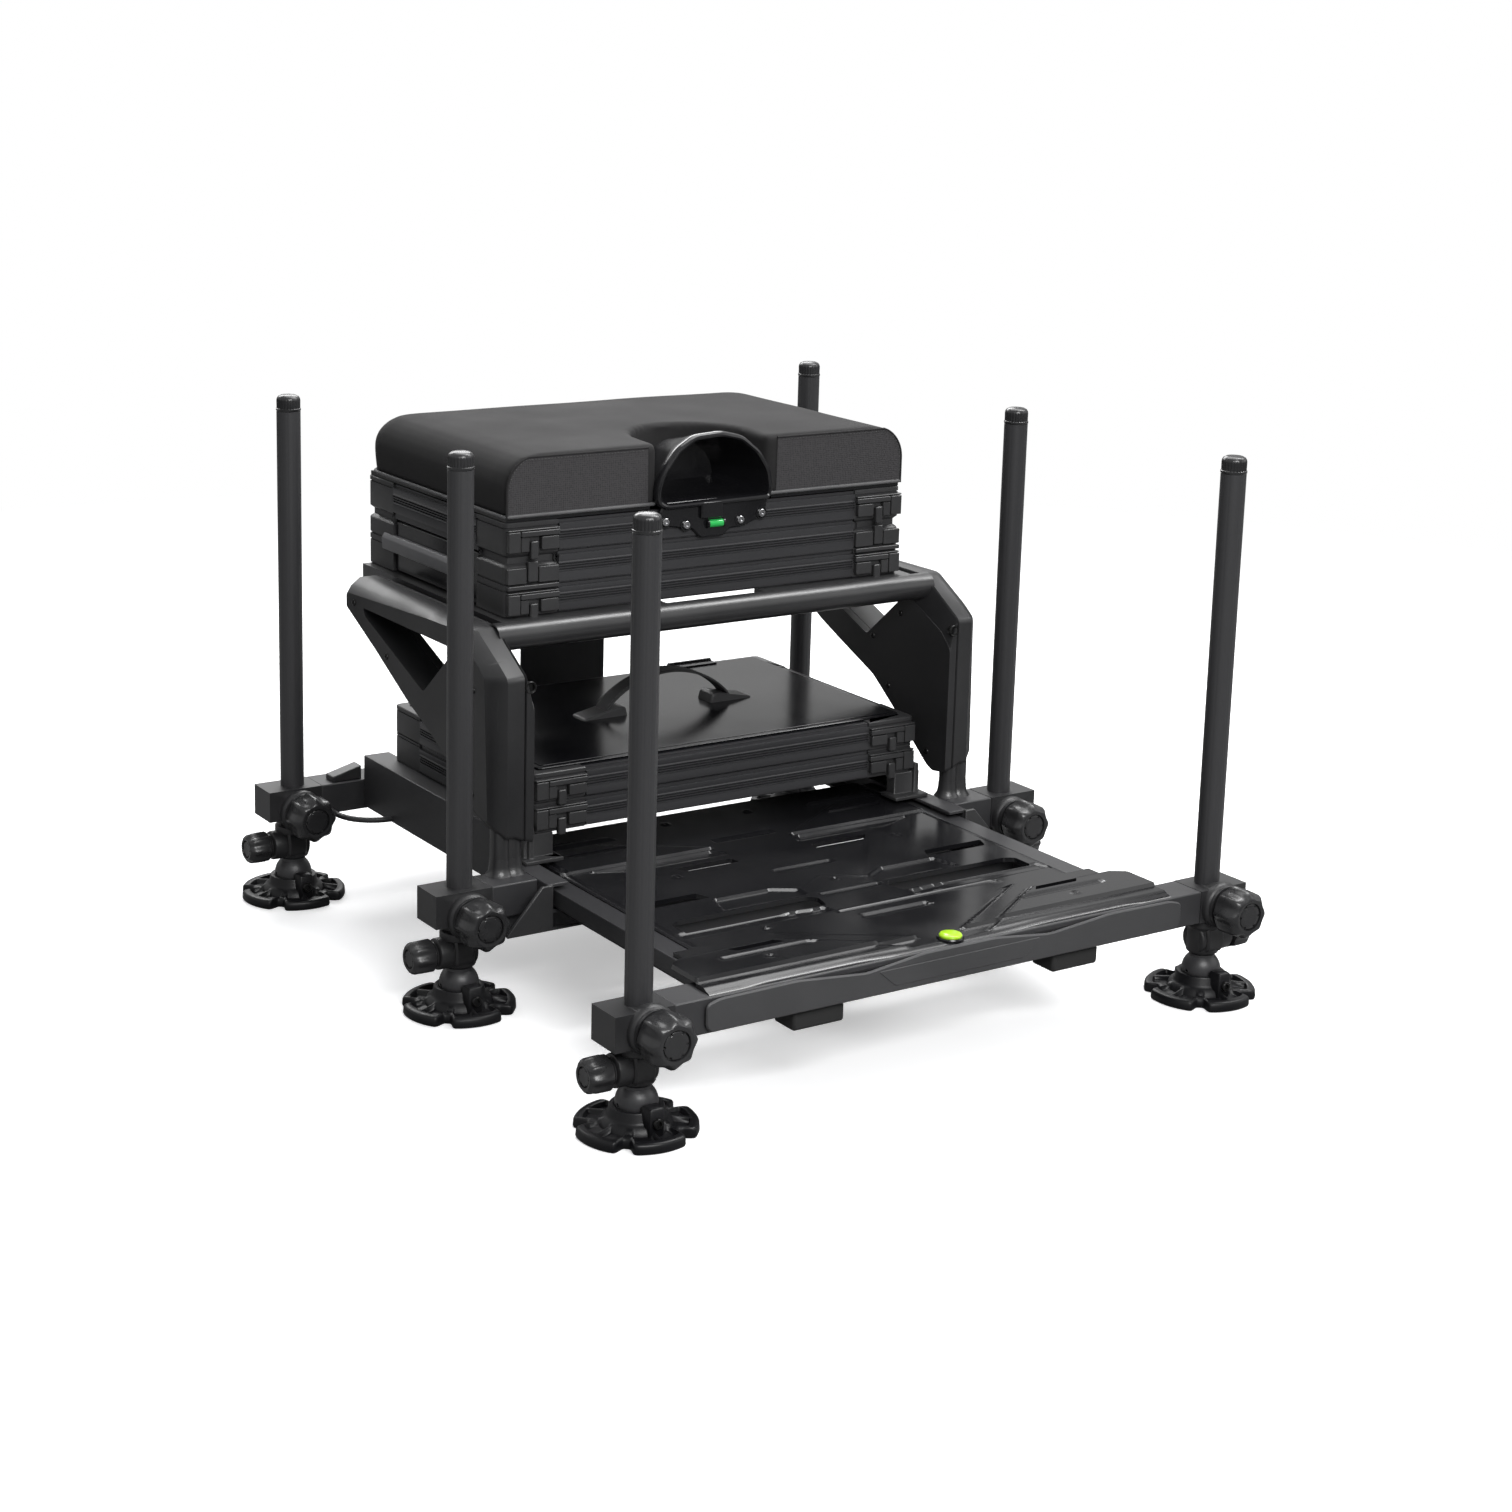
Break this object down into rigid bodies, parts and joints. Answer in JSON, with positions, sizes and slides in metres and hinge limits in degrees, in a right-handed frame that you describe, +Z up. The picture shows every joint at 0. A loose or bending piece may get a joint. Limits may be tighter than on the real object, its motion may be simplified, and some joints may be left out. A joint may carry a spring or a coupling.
{
  "type": "fishing seat box",
  "caption": "Bankside fishing seat box: padded seat over tackle trays and a side drawer, on telescopic mud-foot legs with a sliding footplate.",
  "frame": {"origin": "on the ground under the middle of the seat box", "axes": "+Z up, -Y towards the side the angler faces, +X to the right seen from the front"},
  "size_m": [0.772, 0.8354, 0.548],
  "materials": {
    "leg_tube": "dark satin anodised",
    "inner_tube": "dark satin anodised",
    "foot_plastic": "fine grain",
    "knob_plastic": "semi-gloss",
    "casting": "satin black",
    "frame_paint": "satin charcoal powder coat",
    "frame_plastic": "satin",
    "cover_plastic": "satin",
    "anodised": "dark anodised extrusion",
    "deck_plastic": "gloss",
    "level_fluid": "clear lime",
    "rubber": "matt",
    "corner_plastic": "satin",
    "lid_plastic": "satin gloss",
    "webbing": "woven",
    "drawer_plastic": "satin",
    "seat_cloth": "woven",
    "screw_steel": "bright"
  },
  "bodies": {
    "frame": {"leg_blocks": "casting", "side_rails": "frame_paint", "cross_beams": "frame_paint", "frame_brackets": "frame_plastic", "strap_loops": "frame_paint", "seat_posts": "frame_paint", "seat_frame_sides": "frame_paint", "seat_cross_tubes": "frame_paint", "side_cover_left": "cover_plastic", "side_cover_right": "cover_plastic", "back_plate": "frame_paint", "lower_box_corners": "corner_plastic", "upper_box_corners": "corner_plastic", "lower_box_walls": "anodised", "upper_box_walls": "anodised", "pole_hood": "deck_plastic", "hood_level": "level_fluid", "hood_screws": "screw_steel", "latch_plates": "corner_plastic"},
    "footplate": {"footplate_bar": "frame_paint", "footplate_rails": "anodised", "footplate_blocks": "casting", "footplate_deck": "deck_plastic", "footplate_level": "level_fluid", "rubber_feet": "rubber"},
    "seat": {"seat_board": "lid_plastic", "seat_cushion": "seat_cloth"},
    "lower_lid": {"lower_box_lid": "lid_plastic", "carry_handle": "webbing"},
    "drawer": {"side_drawer": "drawer_plastic"},
    "leg_rear_left": {"leg_rear_left": "leg_tube"},
    "inner_leg_rear_left": {"inner_leg_rear_left": "inner_tube"},
    "mud_foot_rear_left": {"mud_foot_rear_left": "foot_plastic"},
    "clamp_knob_rear_left": {"clamp_knob_rear_left": "knob_plastic"},
    "foot_knob_rear_left": {"foot_knob_rear_left": "knob_plastic"},
    "leg_rear_right": {"leg_rear_right": "leg_tube"},
    "inner_leg_rear_right": {"inner_leg_rear_right": "inner_tube"},
    "mud_foot_rear_right": {"mud_foot_rear_right": "foot_plastic"},
    "clamp_knob_rear_right": {"clamp_knob_rear_right": "knob_plastic"},
    "foot_knob_rear_right": {"foot_knob_rear_right": "knob_plastic"},
    "leg_mid_left": {"leg_mid_left": "leg_tube"},
    "inner_leg_mid_left": {"inner_leg_mid_left": "inner_tube"},
    "mud_foot_mid_left": {"mud_foot_mid_left": "foot_plastic"},
    "clamp_knob_mid_left": {"clamp_knob_mid_left": "knob_plastic"},
    "foot_knob_mid_left": {"foot_knob_mid_left": "knob_plastic"},
    "leg_mid_right": {"leg_mid_right": "leg_tube"},
    "inner_leg_mid_right": {"inner_leg_mid_right": "inner_tube"},
    "mud_foot_mid_right": {"mud_foot_mid_right": "foot_plastic"},
    "clamp_knob_mid_right": {"clamp_knob_mid_right": "knob_plastic"},
    "foot_knob_mid_right": {"foot_knob_mid_right": "knob_plastic"},
    "leg_front_left": {"leg_front_left": "leg_tube"},
    "inner_leg_front_left": {"inner_leg_front_left": "inner_tube"},
    "mud_foot_front_left": {"mud_foot_front_left": "foot_plastic"},
    "clamp_knob_front_left": {"clamp_knob_front_left": "knob_plastic"},
    "foot_knob_front_left": {"foot_knob_front_left": "knob_plastic"},
    "leg_front_right": {"leg_front_right": "leg_tube"},
    "inner_leg_front_right": {"inner_leg_front_right": "inner_tube"},
    "mud_foot_front_right": {"mud_foot_front_right": "foot_plastic"},
    "clamp_knob_front_right": {"clamp_knob_front_right": "knob_plastic"},
    "foot_knob_front_right": {"foot_knob_front_right": "knob_plastic"}
  },
  "joints": [
    {"name": "footplate_slide", "type": "slide", "parent": "frame", "child": "footplate", "axis": [0, 1, 0], "range_m": [0, 0.2]},
    {"name": "drawer_slide", "type": "slide", "parent": "frame", "child": "drawer", "axis": [-1, 0, 0], "range_m": [0, 0.28]},
    {"name": "seat_hinge", "type": "hinge", "parent": "frame", "child": "seat", "pos_m": [0, 0.3634, 0.456], "axis": [-1, 0, 0], "range_deg": [0, 80]},
    {"name": "lower_lid_hinge", "type": "hinge", "parent": "frame", "child": "lower_lid", "pos_m": [0, 0.3075, 0.2169], "axis": [-1, 0, 0], "range_deg": [0, 18]},
    {"name": "leg_height_rear_left", "type": "slide", "parent": "frame", "child": "leg_rear_left", "axis": [0, 0, -1], "range_m": [0, 0.38]},
    {"name": "leg_extension_rear_left", "type": "slide", "parent": "leg_rear_left", "child": "inner_leg_rear_left", "axis": [0, 0, -1], "range_m": [0, 0.3]},
    {"name": "foot_tilt_rear_left", "type": "hinge", "parent": "inner_leg_rear_left", "child": "mud_foot_rear_left", "pos_m": [-0.331, 0.363, 0.027], "axis": [1, 0, 0], "range_deg": [-15, 15]},
    {"name": "clamp_knob_turn_rear_left", "type": "hinge", "parent": "frame", "child": "clamp_knob_rear_left", "pos_m": [-0.331, 0.332, 0.1], "axis": [0, -1, 0], "range_deg": [0, 360]},
    {"name": "foot_knob_turn_rear_left", "type": "hinge", "parent": "leg_rear_left", "child": "foot_knob_rear_left", "pos_m": [-0.358, 0.363, 0.06], "axis": [-1, 0, 0], "range_deg": [0, 360]},
    {"name": "leg_height_rear_right", "type": "slide", "parent": "frame", "child": "leg_rear_right", "axis": [0, 0, -1], "range_m": [0, 0.38]},
    {"name": "leg_extension_rear_right", "type": "slide", "parent": "leg_rear_right", "child": "inner_leg_rear_right", "axis": [0, 0, -1], "range_m": [0, 0.3]},
    {"name": "foot_tilt_rear_right", "type": "hinge", "parent": "inner_leg_rear_right", "child": "mud_foot_rear_right", "pos_m": [0.331, 0.363, 0.027], "axis": [1, 0, 0], "range_deg": [-15, 15]},
    {"name": "clamp_knob_turn_rear_right", "type": "hinge", "parent": "frame", "child": "clamp_knob_rear_right", "pos_m": [0.331, 0.332, 0.1], "axis": [0, -1, 0], "range_deg": [0, 360]},
    {"name": "foot_knob_turn_rear_right", "type": "hinge", "parent": "leg_rear_right", "child": "foot_knob_rear_right", "pos_m": [0.358, 0.363, 0.06], "axis": [1, 0, 0], "range_deg": [0, 360]},
    {"name": "leg_height_mid_left", "type": "slide", "parent": "frame", "child": "leg_mid_left", "axis": [0, 0, -1], "range_m": [0, 0.38]},
    {"name": "leg_extension_mid_left", "type": "slide", "parent": "leg_mid_left", "child": "inner_leg_mid_left", "axis": [0, 0, -1], "range_m": [0, 0.3]},
    {"name": "foot_tilt_mid_left", "type": "hinge", "parent": "inner_leg_mid_left", "child": "mud_foot_mid_left", "pos_m": [-0.331, -0.022, 0.027], "axis": [1, 0, 0], "range_deg": [-15, 15]},
    {"name": "clamp_knob_turn_mid_left", "type": "hinge", "parent": "frame", "child": "clamp_knob_mid_left", "pos_m": [-0.331, -0.053, 0.1], "axis": [0, -1, 0], "range_deg": [0, 360]},
    {"name": "foot_knob_turn_mid_left", "type": "hinge", "parent": "leg_mid_left", "child": "foot_knob_mid_left", "pos_m": [-0.358, -0.022, 0.06], "axis": [-1, 0, 0], "range_deg": [0, 360]},
    {"name": "leg_height_mid_right", "type": "slide", "parent": "frame", "child": "leg_mid_right", "axis": [0, 0, -1], "range_m": [0, 0.38]},
    {"name": "leg_extension_mid_right", "type": "slide", "parent": "leg_mid_right", "child": "inner_leg_mid_right", "axis": [0, 0, -1], "range_m": [0, 0.3]},
    {"name": "foot_tilt_mid_right", "type": "hinge", "parent": "inner_leg_mid_right", "child": "mud_foot_mid_right", "pos_m": [0.331, -0.022, 0.027], "axis": [1, 0, 0], "range_deg": [-15, 15]},
    {"name": "clamp_knob_turn_mid_right", "type": "hinge", "parent": "frame", "child": "clamp_knob_mid_right", "pos_m": [0.331, -0.053, 0.1], "axis": [0, -1, 0], "range_deg": [0, 360]},
    {"name": "foot_knob_turn_mid_right", "type": "hinge", "parent": "leg_mid_right", "child": "foot_knob_mid_right", "pos_m": [0.358, -0.022, 0.06], "axis": [1, 0, 0], "range_deg": [0, 360]},
    {"name": "leg_height_front_left", "type": "slide", "parent": "footplate", "child": "leg_front_left", "axis": [0, 0, -1], "range_m": [0, 0.38]},
    {"name": "leg_extension_front_left", "type": "slide", "parent": "leg_front_left", "child": "inner_leg_front_left", "axis": [0, 0, -1], "range_m": [0, 0.3]},
    {"name": "foot_tilt_front_left", "type": "hinge", "parent": "inner_leg_front_left", "child": "mud_foot_front_left", "pos_m": [-0.331, -0.353, 0.027], "axis": [1, 0, 0], "range_deg": [-15, 15]},
    {"name": "clamp_knob_turn_front_left", "type": "hinge", "parent": "footplate", "child": "clamp_knob_front_left", "pos_m": [-0.331, -0.384, 0.1], "axis": [0, -1, 0], "range_deg": [0, 360]},
    {"name": "foot_knob_turn_front_left", "type": "hinge", "parent": "leg_front_left", "child": "foot_knob_front_left", "pos_m": [-0.358, -0.353, 0.06], "axis": [-1, 0, 0], "range_deg": [0, 360]},
    {"name": "leg_height_front_right", "type": "slide", "parent": "footplate", "child": "leg_front_right", "axis": [0, 0, -1], "range_m": [0, 0.38]},
    {"name": "leg_extension_front_right", "type": "slide", "parent": "leg_front_right", "child": "inner_leg_front_right", "axis": [0, 0, -1], "range_m": [0, 0.3]},
    {"name": "foot_tilt_front_right", "type": "hinge", "parent": "inner_leg_front_right", "child": "mud_foot_front_right", "pos_m": [0.331, -0.353, 0.027], "axis": [1, 0, 0], "range_deg": [-15, 15]},
    {"name": "clamp_knob_turn_front_right", "type": "hinge", "parent": "footplate", "child": "clamp_knob_front_right", "pos_m": [0.331, -0.384, 0.1], "axis": [0, -1, 0], "range_deg": [0, 360]},
    {"name": "foot_knob_turn_front_right", "type": "hinge", "parent": "leg_front_right", "child": "foot_knob_front_right", "pos_m": [0.358, -0.353, 0.06], "axis": [1, 0, 0], "range_deg": [0, 360]}
  ]
}
